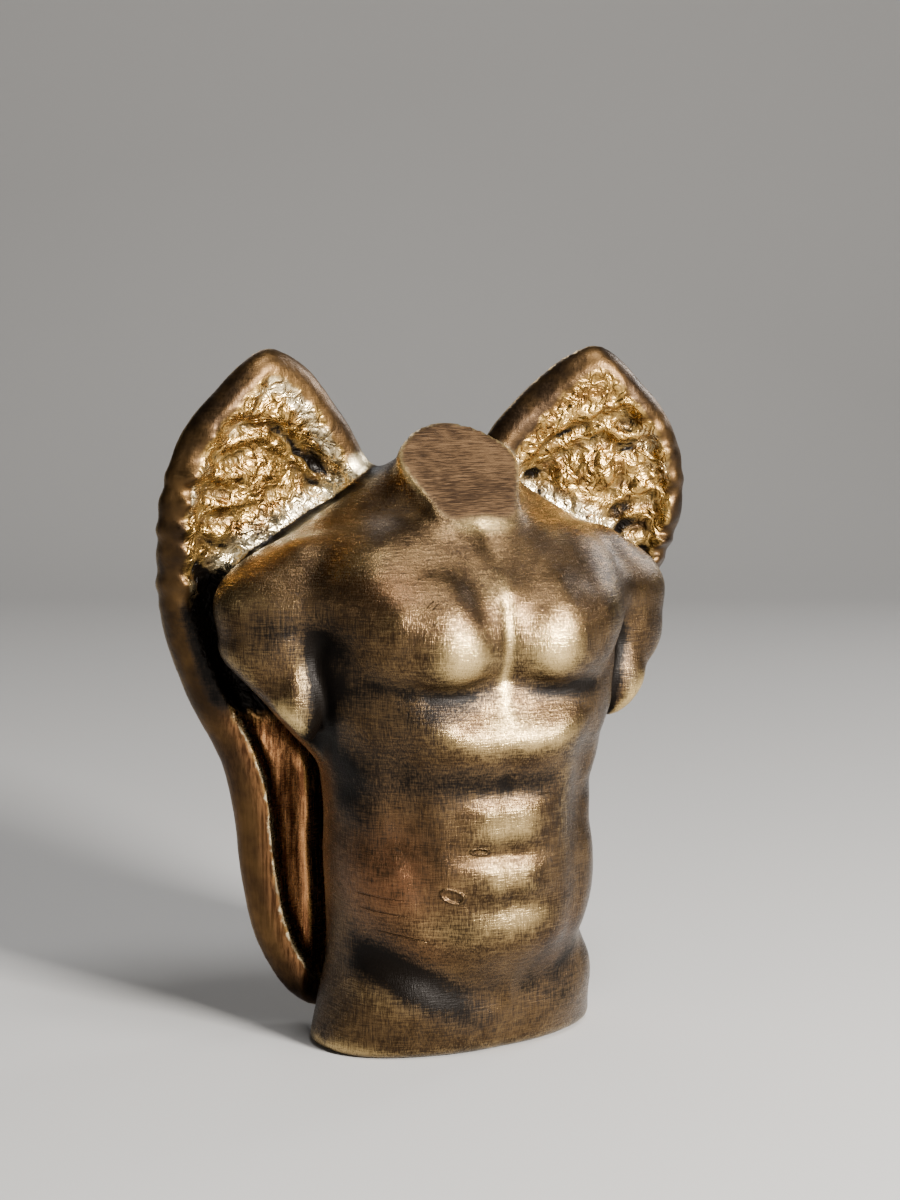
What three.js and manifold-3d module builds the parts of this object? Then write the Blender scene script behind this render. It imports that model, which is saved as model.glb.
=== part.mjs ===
// A winged male torso without head and forearms, cast in one piece of plaster.
// Millimetres, +Z up. The figure faces -Y and its own left is +X.
// The origin is the middle of the flat underside.
import * as THREE from 'three';
import { mergeVertices } from 'three/addons/utils/BufferGeometryUtils.js';
import Module from 'manifold-3d';

const wasm = await Module();
wasm.setup();

// Driving dimensions, in millimetres and degrees
const figureHeight = 180;
const wingSpan = 151.2;
const wingThickness = 15;
const wingEdgeRadius = 6.2;
const wingRimWidth = 6.5;
const wingHollowDepth = 3.4;
const featherHeight = 3.0;
const baseWidth = 80.4;
const baseDepth = 48;
const baseSetBack = 4.5;
const hipTurn = 9.5;
const hipShift = 2.4;
const waistWidth = 67.6;
const chestWidth = 80;
const shoulderSpan = 126;
const armDiameter = 23;
const armCutHeight = 79.5;
const neckWidth = 31;
const neckCutHeight = 148.8;
const neckCutTilt = 45;
const facetSize = 4.4;

// The carving is laid out as on a figure 180 high, and the unit brings it to size
const unit = figureHeight / 180;
const base = baseWidth / 2 / unit;
const baseFront = (baseSetBack - baseDepth / 2) / unit;
const baseBack = (baseSetBack + baseDepth / 2) / unit;
const waist = waistWidth / 2 / unit;
const chest = chestWidth / 2 / unit;
const shoulder = shoulderSpan / 2 / unit;
const arm = armDiameter / 2 / unit;
const armCut = armCutHeight / unit;
const neck = neckWidth / 2 / unit;
const neckTop = neckCutHeight / unit;
const halfSpan = wingSpan / 2 / unit;
const wingHalf = wingThickness / 2 / unit;
const wingEdge = wingEdgeRadius / unit;
const rimWidth = wingRimWidth / unit;
const hollow = wingHollowDepth / unit;
const featherRise = featherHeight / unit;

// Blends and ramps

function smoothMin(a, b, reach) {
  const h = Math.max(reach - Math.abs(a - b), 0) / reach;
  return Math.min(a, b) - (h * h * reach) / 4;
}

function smoothMax(a, b, reach) {
  return -smoothMin(-a, -b, reach);
}

function ramp(from, to, value) {
  const t = THREE.MathUtils.clamp((value - from) / (to - from), 0, 1);
  return t * t * (3 - 2 * t);
}

// A value read off a list of stations [height, value], with straight runs between them
function straight(stations, height) {
  if (height <= stations[0][0]) return stations[0][1];
  for (let i = 1; i < stations.length; i++) {
    const [low, a] = stations[i - 1];
    const [high, b] = stations[i];
    if (height < high) return a + ((b - a) * (height - low)) / (high - low);
  }
  return stations.at(-1)[1];
}

// The same with a smooth curve through the stations, for one column of the list
function curved(stations, column, height) {
  const last = stations.length - 1;
  const h = THREE.MathUtils.clamp(height, stations[0][0], stations[last][0]);
  let i = 0;
  while (i < last - 1 && h >= stations[i + 1][0]) i++;
  const slope = (k) => {
    const low = stations[Math.max(k - 1, 0)];
    const high = stations[Math.min(k + 1, last)];
    return (high[column] - low[column]) / (high[0] - low[0]);
  };
  const below = stations[i];
  const above = stations[i + 1];
  const run = above[0] - below[0];
  const t = (h - below[0]) / run;
  const start = below[column] * (2 * t ** 3 - 3 * t ** 2 + 1) + slope(i) * run * (t ** 3 - 2 * t ** 2 + t);
  const end = above[column] * (3 * t ** 2 - 2 * t ** 3) + slope(i + 1) * run * (t ** 3 - t ** 2);
  return start + end;
}

// Rounded bodies, as signed distances that are negative inside

function turned(p, centre, spin) {
  const v = [p[0] - centre[0], p[1] - centre[1], p[2] - centre[2]];
  spin.forEach((degrees, axis) => {
    const c = Math.cos(THREE.MathUtils.degToRad(degrees));
    const s = Math.sin(THREE.MathUtils.degToRad(degrees)) * (axis === 1 ? -1 : 1);
    const [a, b] = [[1, 2], [0, 2], [0, 1]][axis];
    [v[a], v[b]] = [c * v[a] + s * v[b], c * v[b] - s * v[a]];
  });
  return v;
}

function ellipsoid(p, centre, radii, spin = [0, 0, 0]) {
  const v = turned(p, centre, spin);
  const near = Math.hypot(v[0] / radii[0], v[1] / radii[1], v[2] / radii[2]);
  const slope = Math.hypot(v[0] / radii[0] ** 2, v[1] / radii[1] ** 2, v[2] / radii[2] ** 2);
  return (near * (near - 1)) / Math.max(slope, 1e-6);
}

function roundedSlab(p, centre, half, radius, spin, yaw) {
  const v = turned(turned(p, centre, [0, 0, yaw]), [0, 0, 0], spin);
  const q = v.map((value, i) => Math.abs(value) - half[i] + radius);
  const outside = Math.hypot(Math.max(q[0], 0), Math.max(q[1], 0), Math.max(q[2], 0));
  return outside + Math.min(Math.max(...q), 0) - radius;
}

// A limb between two points, with a radius at each end
function limb(p, from, to, startRadius, endRadius) {
  const d = [to[0] - from[0], to[1] - from[1], to[2] - from[2]];
  const q = [p[0] - from[0], p[1] - from[1], p[2] - from[2]];
  const along = (q[0] * d[0] + q[1] * d[1] + q[2] * d[2]) / (d[0] ** 2 + d[1] ** 2 + d[2] ** 2);
  const h = THREE.MathUtils.clamp(along, 0, 1);
  const gap = Math.hypot(q[0] - d[0] * h, q[1] - d[1] * h, q[2] - d[2] * h);
  return gap - startRadius - (endRadius - startRadius) * h;
}

// Carving seen in the front view: a soft swell, and a groove or ridge along a line

function swell(x, z, cx, cz, rx, rz, tilt = 0) {
  const c = Math.cos(THREE.MathUtils.degToRad(tilt));
  const s = Math.sin(THREE.MathUtils.degToRad(tilt));
  const u = (c * (x - cx) + s * (z - cz)) / rx;
  const v = (c * (z - cz) - s * (x - cx)) / rz;
  return Math.exp(-u * u - v * v);
}

function stroke(x, z, points, width) {
  let best = Infinity;
  for (let i = 1; i < points.length; i++) {
    const [ax, az] = points[i - 1];
    const dx = points[i][0] - ax;
    const dz = points[i][1] - az;
    const h = THREE.MathUtils.clamp(((x - ax) * dx + (z - az) * dz) / (dx * dx + dz * dz), 0, 1);
    best = Math.min(best, (x - ax - dx * h) ** 2 + (z - az - dz * h) ** 2);
  }
  return Math.exp(-best / width ** 2);
}

// The trunk: height, half width, front and back, from below the underside to the shoulders
const trunkStations = [
  [-10, base * 1.01, baseFront * 0.9, baseBack],
  [0, base, baseFront, baseBack],
  [10, base * 0.945, -22.8, 28.5],
  [22, base * 0.3 + waist * 0.678, -27, 28],
  [34, base * 0.05 + waist * 0.958, -30.5, 27.5],
  [47, waist * 1.018, -31.5, 27],
  [62, waist, -31.5, 26.5],
  [76, waist * 0.53 + chest * 0.457, -33, 26],
  [90, chest, -33.5, 25.5],
  [104, chest * 1.075, -31, 25],
  [116, chest * 1.05, -26, 24],
  [126, chest * 0.9, -20, 22],
  [136, chest * 0.6, -14, 19],
];
const trunkSquareness = 2.35;

function trunk([x, y, z]) {
  const width = curved(trunkStations, 1, z);
  const front = curved(trunkStations, 2, z);
  const back = curved(trunkStations, 3, z);
  const depth = (back - front) / 2;
  const n = trunkSquareness;
  const u = Math.abs(x) / width;
  const v = Math.abs(y - (back + front) / 2) / depth;
  const k = Math.max(u ** n + v ** n, 1e-6) ** (1 / n);
  const slope = k ** (1 - n) * Math.hypot(u ** (n - 1) / width, v ** (n - 1) / depth);
  return smoothMax((k - 1) / Math.max(slope, 1e-3), z - 133, 10);
}

// Ribs, belly, groin and spine, as the amount by which the trunk's surface is raised
function trunkCarving([x, y, z], side) {
  const front = ramp(2, -16, y);
  let rise = front * 2.4 * swell(side, z, 19, 86, 14, 7, 24);
  rise += front * 3.4 * swell(x, z, 1, 82, 17, 8);
  rise += front * 3.2 * swell(x, z, 0.6, 61.3, 12, 6.4);
  rise += front * 2.8 * swell(x, z, 0.4, 47.7, 12, 5.2);
  rise += front * 2.6 * swell(x, z, 1, 32, 17, 10);
  rise += front * 1.2 * swell(side, z, 17, 58, 7, 24);
  rise -= front * 1.2 * stroke(side, z, [[25, 78], [24, 62], [22, 44], [17, 28]], 4.5);
  rise += 1.7 * ramp(8, -10, y) * swell(side, z, 29, 49, 8, 13, -12);
  rise -= front * 2.6 * stroke(side, z, [[33, 29.5], [27, 25.5], [17, 20.5], [5, 17]], 6.2);
  rise += front * 1.1 * stroke(side, z, [[38, 21], [26, 13], [12, 3], [2, -2]], 7.5);
  return rise - 2.2 * ramp(5, 18, y) * stroke(side, z, [[0, 130], [0, 10]], 4.0);
}

function chestMuscles(q) {
  let muscle = roundedSlab(q, [chest * 0.475, -21.9, 109.8], [chest * 0.437, 13.5, 14.8], 13, [16, 0, -8], 24);
  muscle = smoothMin(muscle, ellipsoid(q, [chest * 0.315, -25.6, 104.8], [chest * 0.335, 11.8, 9]), 8);
  muscle = smoothMin(muscle, ellipsoid(q, [chest * 0.79, -11, 116], [chest * 0.3, 12, 9], [0, 24, 0]), 10);
  const bone = ellipsoid(q, [0, -22.6, 108.5], [chest * 0.5, 13.2, 16]);
  const upperBone = limb([q[0] / 1.5, q[1], q[2]], [0, -12.3, 129.5], [0, -22, 116], 8, 9.5);
  return smoothMin(smoothMin(muscle, bone, 3), upperBone, 5);
}

// The neck runs on above its cut, which is made at the end
function neckAndShoulders(q) {
  const stretch = 1.32;
  const narrowed = [q[0] / stretch, q[1], q[2]];
  const across = neck / stretch;
  const column = limb(narrowed, [0, 1, 122], [0, -7.5, 162], across * 1.19, across * 0.92);
  const slope = limb(q, [10, 6, 139], [shoulder - 11, 3, 115.5], 9.2, 9.5);
  const nape = limb(q, [8, 8, 138], [26, 14, 120], 9.5, 10);
  const collarBone = limb(q, [6, -15, 131.5], [42, -4, 128], 2.4, 3.2);
  const throat = limb(q, [0, -15, 138.6], [7.6, -14.4, 138.6], 3, 2.8);
  const tendon = limb(q, [11, -6, 152], [7, -14.4, 136], 3.6, 3);
  return { column: column * 1.15, slope, nape, collarBone, front: smoothMin(tendon, throat, 4) };
}

// The arm ends above the elbow in a flat cut that faces down and outwards
function upperArm(q) {
  const axis = shoulder - 15.8;
  let form = ellipsoid(q, [axis, 1, 109.5], [arm * 1.165, 14, 17.5], [0, -14, 0]);
  form = smoothMin(form, limb(q, [axis + 1.4, 3.5, 104], [axis - 1.7, 6, 74], arm * 0.99, arm * 0.89), 7);
  form = smoothMin(form, ellipsoid(q, [axis - 1.4, -7, 92], [7.6, 6.8, 12.5], [0, -6, 0]), 3);
  const cut = (q[0] - axis + 5.7) * 0.7 + (q[1] + 8.4) * 0.14 - (q[2] - armCut) * 0.7;
  return smoothMax(form, cut, 1.2);
}

// The hips are turned and shifted a little towards the figure's left
function untwisted([x, y, z]) {
  const pivot = 3;
  const share = ramp(62, 4, z);
  const c = Math.cos(THREE.MathUtils.degToRad(hipTurn * share));
  const s = Math.sin(THREE.MathUtils.degToRad(hipTurn * share));
  const u = x - (hipShift / unit) * share;
  const v = y - pivot;
  return [c * u + s * v, c * v - s * u + pivot, z];
}

function body(point) {
  const p = untwisted(point);
  const side = Math.sqrt(p[0] * p[0] + 0.25);
  const q = [side, p[1], p[2]];
  const reach = 3 + 8 * ramp(103, 119, p[2]);
  let form = trunk(p) - trunkCarving(p, side);
  form = smoothMin(form, chestMuscles(q), 2);
  form = smoothMin(form, ellipsoid(q, [15, -9, 124.5], [24, 13.6, 12]), 11);
  const { column, slope, nape, collarBone, front } = neckAndShoulders(q);
  form = smoothMin(form, column, 8);
  form = smoothMin(form, slope, 10);
  form = smoothMin(form, nape, 10);
  form = smoothMin(form, collarBone, 6);
  form = smoothMin(form, front, 6);
  form = smoothMin(form, ellipsoid(q, [26, 12, 114], [20, 12, 20]), 10);
  form = smoothMin(form, upperArm(q), reach);
  return smoothMin(form, ellipsoid(q, [33, 8, 98], [10.5, 16, 20], [0, 12, 0]), 7);
}

// One wing's outline in the front view, from the root beside the neck over the tip and
// down the outer edge: shares of the half span across, heights up
const wingOutline = [
  [0.159, 141], [0.231, 152], [0.317, 162.5], [0.43, 172], [0.529, 177.8], [0.615, 180.2],
  [0.694, 177.6], [0.804, 169.8], [0.918, 159.7], [0.979, 147.6], [1.0, 134], [0.968, 119],
  [0.909, 104], [0.82, 88], [0.708, 72], [0.661, 58], [0.642, 42], [0.603, 27],
  [0.532, 14.5], [0.443, 6.5], [0.317, 3.5], [0.185, 12], [0.106, 35], [0.066, 65],
  [0.053, 100], [0.066, 125],
];
const outlinePoints = wingOutline.map(([across, height]) => new THREE.Vector3(across * halfSpan, height, 0));
const outlineCurve = new THREE.CatmullRomCurve3(outlinePoints, true, 'catmullrom', 0.5);
const outline = outlineCurve.getPoints(wingOutline.length * 3);

// Signed distance to the outline, negative inside
function outlineDistance(x, z) {
  let best = Infinity;
  let inside = false;
  for (let i = 1; i < outline.length; i++) {
    const a = outline[i - 1];
    const b = outline[i];
    const dx = b.x - a.x;
    const dz = b.y - a.y;
    const h = THREE.MathUtils.clamp(((x - a.x) * dx + (z - a.y) * dz) / (dx * dx + dz * dz), 0, 1);
    best = Math.min(best, (x - a.x - dx * h) ** 2 + (z - a.y - dz * h) ** 2);
    if (a.y > z !== b.y > z && x < a.x + ((z - a.y) / dz) * dx) inside = !inside;
  }
  return (inside ? -1 : 1) * Math.sqrt(best);
}

// The wing's middle surface, outside and at the root, and how its thickness changes with height
const outerMiddle = [
  [0, 26.5], [25, 27.5], [60, 28.5], [90, 27.5], [105, 25.5],
  [119, 21.5], [133, 15], [148, 11], [165, 9.7], [182, 9.5],
];
const rootMiddle = [[0, 26.5], [60, 28], [105, 25], [133, 20], [160, 16], [176, 14.5], [182, 12]];
const thickness = [
  [0, 0.73], [25, 0.93], [60, 1], [100, 1.03],
  [130, 1], [150, 0.9], [170, 0.83], [182, 0.73],
];

// Rows of feathers on the back: their roots, their tips, how many, half width and height
const featherRows = [
  {
    roots: [[12, 120], [38, 132], [60, 138]],
    tips: [[13, 22], [22, 12], [33, 16], [41, 32], [46, 55], [56, 80], [66, 104]],
    count: 7, width: 7.2, rise: 0.4,
  },
  {
    roots: [[9, 112], [30, 117], [52, 116], [66, 124]],
    tips: [[12, 88], [30, 92], [50, 95], [66, 111]],
    count: 6, width: 7.2, rise: 0.63,
  },
  {
    roots: [[10, 128], [30, 135], [50, 135], [66, 138]],
    tips: [[10, 108], [29, 112], [50, 113], [70, 122]],
    count: 7, width: 6.8, rise: 0.83,
  },
  {
    roots: [[13, 140], [28, 152], [48, 152], [64, 150]],
    tips: [[10, 126], [29, 131], [50, 131], [72, 137]],
    count: 7, width: 6.6, rise: 1.0,
  },
  {
    roots: [[18, 148], [32, 164], [50, 168], [62, 160]],
    tips: [[15, 139], [31, 146], [50, 147], [71, 150]],
    count: 7, width: 6.2, rise: 1.17,
  },
];

function spread(points, count) {
  const path = new THREE.CurvePath();
  for (let i = 1; i < points.length; i++) {
    path.add(new THREE.LineCurve(new THREE.Vector2(...points[i - 1]), new THREE.Vector2(...points[i])));
  }
  return path.getSpacedPoints(count - 1);
}

const feathers = featherRows.flatMap(({ roots, tips, count, width, rise }) => {
  const starts = spread(roots, count);
  const ends = spread(tips, count);
  return starts.map((start, i) => ({ start, end: ends[i], width, rise: rise * featherRise }));
});

function featherRelief(x, z) {
  let relief = 0;
  for (const { start, end, width, rise } of feathers) {
    const dx = end.x - start.x;
    const dz = end.y - start.y;
    const h = THREE.MathUtils.clamp(((x - start.x) * dx + (z - start.y) * dz) / (dx * dx + dz * dz), 0, 1);
    const d = Math.hypot(x - start.x - dx * h, z - start.y - dz * h) / (width * (0.75 + 0.25 * h));
    const dome = Math.sqrt(Math.max(1 - d * d, 0));
    relief = Math.max(relief, (rise * (0.4 + 0.6 * h) + dome) * ramp(1, 0.8, d));
  }
  return relief;
}

// The carved front of a wing: a smooth rim round a hollow, and two arched steps above the shoulder
function frontRelief(x, z, depth) {
  const upper = ramp(108, 122, z);
  const level = z + 11 * (Math.max(44 - x, 0) / 19) ** 1.8;
  const inside = upper * ramp(rimWidth, rimWidth + 4, depth);
  let relief = -hollow * ramp(rimWidth, rimWidth + 5, depth) * ramp(8, 18, x);
  relief -= inside * (1.5 * ramp(160.5, 157.5, level) - ramp(155.5, 152, level));
  relief -= inside * (1.3 * ramp(151, 148.5, level) - 0.9 * ramp(147, 143, level));
  return relief;
}

function wings([px, y, z]) {
  const x = Math.abs(px);
  const across = outlineDistance(x, z);
  const outer = straight(outerMiddle, z);
  const middle = outer + (straight(rootMiddle, z) - outer) * (1 - ramp(26, 54, x));
  const half = wingHalf * straight(thickness, z);
  const back = y - middle - half + 3 - featherRelief(x, z) * ramp(0.5, 5, -across);
  const front = middle - half - frontRelief(x, z, -across) - y;
  const q = [across + wingEdge, Math.max(back, front) + wingEdge];
  return Math.hypot(Math.max(q[0], 0), Math.max(q[1], 0)) + Math.min(Math.max(...q), 0) - wingEdge;
}

// The whole figure before its two cuts, so it runs on a little below its underside.
// The wings run into the shoulders in a broad hollow.
function figure(x, y, z) {
  const p = [x / unit, y / unit, z / unit];
  const form = smoothMin(body(p), wings(p), 2.2 + 5 * ramp(112, 128, p[2])) * unit;
  return Math.max(form, -z - 1.4 * facetSize);
}

// Facets: each cell of a lattice that the surface crosses gives one point, pulled onto the surface

const neighbours = [[1, 0, 0], [0, 1, 0], [0, 0, 1]];
const cellCorners = Array.from({ length: 8 }, (_, n) => [n & 1, (n >> 1) & 1, n >> 2]);

function pullOntoSurface(start) {
  const step = 0.2 * unit;
  let p = start;
  for (let round = 0; round < 4; round++) {
    const value = figure(...p);
    const slope = [0, 1, 2].map((axis) => {
      const ahead = p.with(axis, p[axis] + step);
      const behind = p.with(axis, p[axis] - step);
      return (figure(...ahead) - figure(...behind)) / (2 * step);
    });
    const squared = Math.max(slope[0] ** 2 + slope[1] ** 2 + slope[2] ** 2, 0.25);
    const reach = Math.min(1, (0.3 * facetSize) / Math.max(Math.abs(value) / Math.sqrt(squared), 1e-9));
    p = p.map((v, axis) => v - (value * slope[axis] * reach) / squared);
  }
  const moved = Math.hypot(p[0] - start[0], p[1] - start[1], p[2] - start[2]);
  return moved < 0.6 * facetSize ? p : start;
}

function facetedFigure() {
  const reach = [wingSpan / 2, 0.3 * figureHeight, 1.04 * figureHeight];
  const start = [-reach[0] - 2 * facetSize, -reach[1], -2.5 * facetSize];
  const size = [2 * reach[0] + 4 * facetSize, 2 * reach[1], reach[2] + 2.5 * facetSize];
  const [nx, ny, nz] = size.map((length) => Math.ceil(length / facetSize) + 1);
  const values = new Float64Array(nx * ny * nz);
  const at = (i, j, k) => (i * ny + j) * nz + k;
  const place = (i, j, k) => [start[0] + i * facetSize, start[1] + j * facetSize, start[2] + k * facetSize];
  for (let i = 0; i < nx; i++) {
    for (let j = 0; j < ny; j++) {
      for (let k = 0; k < nz; k++) values[at(i, j, k)] = figure(...place(i, j, k));
    }
  }
  joinTouchingCells(values, at, [nx, ny, nz]);
  const points = [];
  const index = new Map();
  for (let i = 0; i < nx - 1; i++) {
    for (let j = 0; j < ny - 1; j++) {
      for (let k = 0; k < nz - 1; k++) {
        const crossing = crossingPoint(values, at, place, i, j, k);
        if (!crossing) continue;
        index.set(at(i, j, k), points.length);
        points.push(pullOntoSurface(crossing));
      }
    }
  }
  const triangles = [];
  for (let i = 1; i < nx - 1; i++) {
    for (let j = 1; j < ny - 1; j++) {
      for (let k = 1; k < nz - 1; k++) {
        for (const [axis, step] of neighbours.entries()) {
          const here = values[at(i, j, k)] < 0;
          const next = values[at(i + step[0], j + step[1], k + step[2])] < 0;
          if (here === next) continue;
          const first = neighbours[(axis + 1) % 3];
          const second = neighbours[(axis + 2) % 3];
          const corner = (a, b) => {
            const cell = [i, j, k].map((n, e) => n - a * first[e] - b * second[e]);
            return index.get(at(...cell));
          };
          const quad = [corner(0, 0), corner(1, 0), corner(1, 1), corner(0, 1)];
          if (!here) quad.reverse();
          triangles.push(...splitQuad(quad, points));
        }
      }
    }
  }
  return { points, triangles };
}

// Where the inside of two cells would touch only along an edge or at a corner, a lattice point
// beside them is taken in too, so that the surface never meets itself
function joinTouchingCells(values, at, [nx, ny, nz]) {
  const within = (i, j, k) => i < nx && j < ny && k < nz;
  const fill = (corners) => {
    const outside = corners.filter((n) => values[n] >= 0);
    values[outside.reduce((a, b) => (values[a] < values[b] ? a : b))] = -0.01 * facetSize;
  };
  let changed = true;
  while (changed) {
    changed = false;
    for (let i = 0; i < nx; i++) {
      for (let j = 0; j < ny; j++) {
        for (let k = 0; k < nz; k++) {
          for (const axis of [0, 1, 2]) {
            const u = neighbours[(axis + 1) % 3];
            const v = neighbours[(axis + 2) % 3];
            const far = [i + u[0] + v[0], j + u[1] + v[1], k + u[2] + v[2]];
            if (!within(...far)) continue;
            const face = [
              at(i, j, k), at(i + u[0], j + u[1], k + u[2]), at(...far), at(i + v[0], j + v[1], k + v[2]),
            ];
            const inside = face.map((n) => values[n] < 0);
            if (inside[0] !== inside[2] || inside[1] !== inside[3] || inside[0] === inside[1]) continue;
            fill(face);
            changed = true;
          }
          if (!within(i + 1, j + 1, k + 1)) continue;
          const cell = cellCorners.map(([a, b, c]) => at(i + a, j + b, k + c));
          const inside = cell.map((n) => values[n] < 0);
          const count = inside.filter(Boolean).length;
          const odd = inside.indexOf(count === 2);
          if ((count !== 2 && count !== 6) || inside[7 - odd] !== inside[odd]) continue;
          fill(cell);
          changed = true;
        }
      }
    }
  }
}

// The mean of the points where the surface crosses a cell's edges
function crossingPoint(values, at, place, i, j, k) {
  const sum = [0, 0, 0];
  let count = 0;
  for (const a of cellCorners) {
    for (let axis = 0; axis < 3; axis++) {
      if (a[axis]) continue;
      const b = a.with(axis, 1);
      const from = values[at(i + a[0], j + a[1], k + a[2])];
      const to = values[at(i + b[0], j + b[1], k + b[2])];
      if (from < 0 === to < 0) continue;
      const p = place(i + a[0], j + a[1], k + a[2]);
      p[axis] += (facetSize * from) / (from - to);
      p.forEach((v, n) => (sum[n] += v));
      count++;
    }
  }
  return count ? sum.map((v) => v / count) : null;
}

// A quad is split along the diagonal that lies closer to the surface
function splitQuad([a, b, c, d], points) {
  const miss = (m, n) => Math.abs(figure(...points[m].map((v, axis) => (v + points[n][axis]) / 2)));
  return miss(a, c) < miss(b, d) ? [a, b, c, a, c, d] : [a, b, d, b, c, d];
}

// Solids, cuts and the finished mesh

function solid(positions, triangles) {
  const mesh = new wasm.Mesh({
    numProp: 3,
    vertProperties: Float32Array.from(positions),
    triVerts: Uint32Array.from(triangles),
  });
  return new wasm.Manifold(mesh);
}

function box(width, depth, height, place) {
  const geometry = new THREE.BoxGeometry(width, depth, height).applyMatrix4(place);
  geometry.deleteAttribute('normal');
  geometry.deleteAttribute('uv');
  const merged = mergeVertices(geometry);
  return solid(merged.attributes.position.array, merged.index.array);
}

// Everything below the underside
function underside() {
  const depth = 6 * facetSize;
  return box(2 * wingSpan, 2 * wingSpan, depth, new THREE.Matrix4().makeTranslation(0, 0, -depth / 2));
}

// The flat cut across the neck, higher at the back
function neckCut() {
  const width = neckWidth + 5 * unit;
  const height = 40 * unit;
  const depth = 62 * unit;
  const tilt = new THREE.Matrix4().makeRotationX(THREE.MathUtils.degToRad(neckCutTilt));
  const lift = new THREE.Matrix4().makeTranslation(0, 0, height / 2);
  const seat = new THREE.Matrix4().makeTranslation(0, -8 * unit, neckTop * unit);
  return box(width, depth, height, seat.multiply(tilt).multiply(lift));
}

function castTorso() {
  const { points, triangles } = facetedFigure();
  const cast = solid(points.flat(), triangles).subtract(underside()).subtract(neckCut()).getMesh();
  const geometry = new THREE.BufferGeometry();
  geometry.setAttribute('position', new THREE.BufferAttribute(cast.vertProperties, 3));
  geometry.setIndex(new THREE.BufferAttribute(cast.triVerts, 1));
  geometry.computeVertexNormals();
  return geometry;
}

const antiqueGold = new THREE.MeshStandardMaterial({ color: 0x86683c, roughness: 0.45, metalness: 0.6 });
const torso = new THREE.Mesh(castTorso(), antiqueGold);
torso.name = 'winged_torso';

const model = new THREE.Group();
model.add(torso);
export default model;
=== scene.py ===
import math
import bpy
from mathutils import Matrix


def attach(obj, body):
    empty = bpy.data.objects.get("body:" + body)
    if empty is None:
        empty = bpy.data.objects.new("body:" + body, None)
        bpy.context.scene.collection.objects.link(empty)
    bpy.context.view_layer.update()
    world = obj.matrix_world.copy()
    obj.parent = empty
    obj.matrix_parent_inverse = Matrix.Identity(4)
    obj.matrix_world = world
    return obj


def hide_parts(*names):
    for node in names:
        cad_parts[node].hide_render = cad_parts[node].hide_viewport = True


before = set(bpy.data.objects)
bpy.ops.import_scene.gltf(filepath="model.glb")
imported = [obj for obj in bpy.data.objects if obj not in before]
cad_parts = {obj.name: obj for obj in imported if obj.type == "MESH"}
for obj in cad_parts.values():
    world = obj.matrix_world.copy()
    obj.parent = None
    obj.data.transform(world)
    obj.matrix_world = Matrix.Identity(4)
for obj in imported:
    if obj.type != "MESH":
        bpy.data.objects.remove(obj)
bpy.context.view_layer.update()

# A winged male torso cast in plaster and painted in antique gold bronze.
# The figure is carved as a signed distance in millimetres, negative inside, in the
# frame's own axes: it faces -Y, its own left is +X and z = 0 is its underside.
from types import SimpleNamespace

import bpy
import numpy as np
from mathutils import Vector

MM = 0.001

# Cells of the mesh in millimetres. The surface is first looked for in coarse blocks of
# cells, and then in the cells of blocks that it comes near
CELL = 1.08
BLOCK = 4
LATTICE_LOW = np.array([-81.0, -50.0, -2 * CELL - 0.013])
LATTICE_HIGH = np.array([81.0, 44.0, 184.0])

# The photograph's camera: it turns about the upright axis, looks down a little and
# sees the figure from its own right
CAMERA_AZIMUTH = math.radians(-25)
CAMERA_HEIGHT = 0.192
CAMERA_DISTANCE = 0.669
CAMERA_PITCH = math.radians(6.6)
FOCAL_PIXELS = 2600
PHOTO_HEIGHT = 1200
SENSOR = 36

# Start of the random tables for the noise
SEED = 7
TABLE_SIZE = 32


# Blends and ramps

def smooth_min(a, b, reach):
    h = np.maximum(reach - np.abs(a - b), 0) / reach
    return np.minimum(a, b) - h * h * reach * 0.25


def smooth_max(a, b, reach):
    return -smooth_min(-a, -b, reach)


def ramp(start, end, value):
    t = np.clip((value - start) / (end - start), 0, 1)
    return t * t * (3 - 2 * t)


def straight(stations, height):
    """A value read off [height, value] stations, with straight runs between them."""
    heights, values = zip(*stations)
    return np.interp(height, heights, values).astype(np.float32)


def curved(stations, column, height):
    """A smooth curve through one column of the stations."""
    heights = np.array([s[0] for s in stations], float)
    values = np.array([s[column] for s in stations], float)
    slope = np.empty_like(values)
    slope[1:-1] = (values[2:] - values[:-2]) / (heights[2:] - heights[:-2])
    slope[0] = (values[1] - values[0]) / (heights[1] - heights[0])
    slope[-1] = (values[-1] - values[-2]) / (heights[-1] - heights[-2])
    h = np.clip(height, heights[0], heights[-1])
    i = np.clip(np.searchsorted(heights, h, side="right") - 1, 0, len(heights) - 2)
    run = heights[i + 1] - heights[i]
    t = (h - heights[i]) / run
    start = (2 * t**3 - 3 * t**2 + 1) * values[i] + (t**3 - 2 * t**2 + t) * run * slope[i]
    end = (3 * t**2 - 2 * t**3) * values[i + 1] + (t**3 - t**2) * run * slope[i + 1]
    return (start + end).astype(np.float32)


def value_noise(x, y, z, size, seed=0):
    """Smooth noise between -1 and 1 with grains of the given size."""
    table = np.random.default_rng(SEED + seed).uniform(-1, 1, (TABLE_SIZE,) * 3).astype(np.float32)
    u, v, w = x / size, y / size, z / size
    i, j, k = (np.floor(c).astype(int) for c in (u, v, w))
    a, b, c = u - i, v - j, w - k
    a, b, c = (t * t * (3 - 2 * t) for t in (a, b, c))
    total = 0
    for di in (0, 1):
        for dj in (0, 1):
            for dk in (0, 1):
                weight = (a if di else 1 - a) * (b if dj else 1 - b) * (c if dk else 1 - c)
                place = tuple((n + d) % TABLE_SIZE for n, d in ((i, di), (j, dj), (k, dk)))
                total = total + weight * table[place]
    return total


# Rounded bodies

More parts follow.
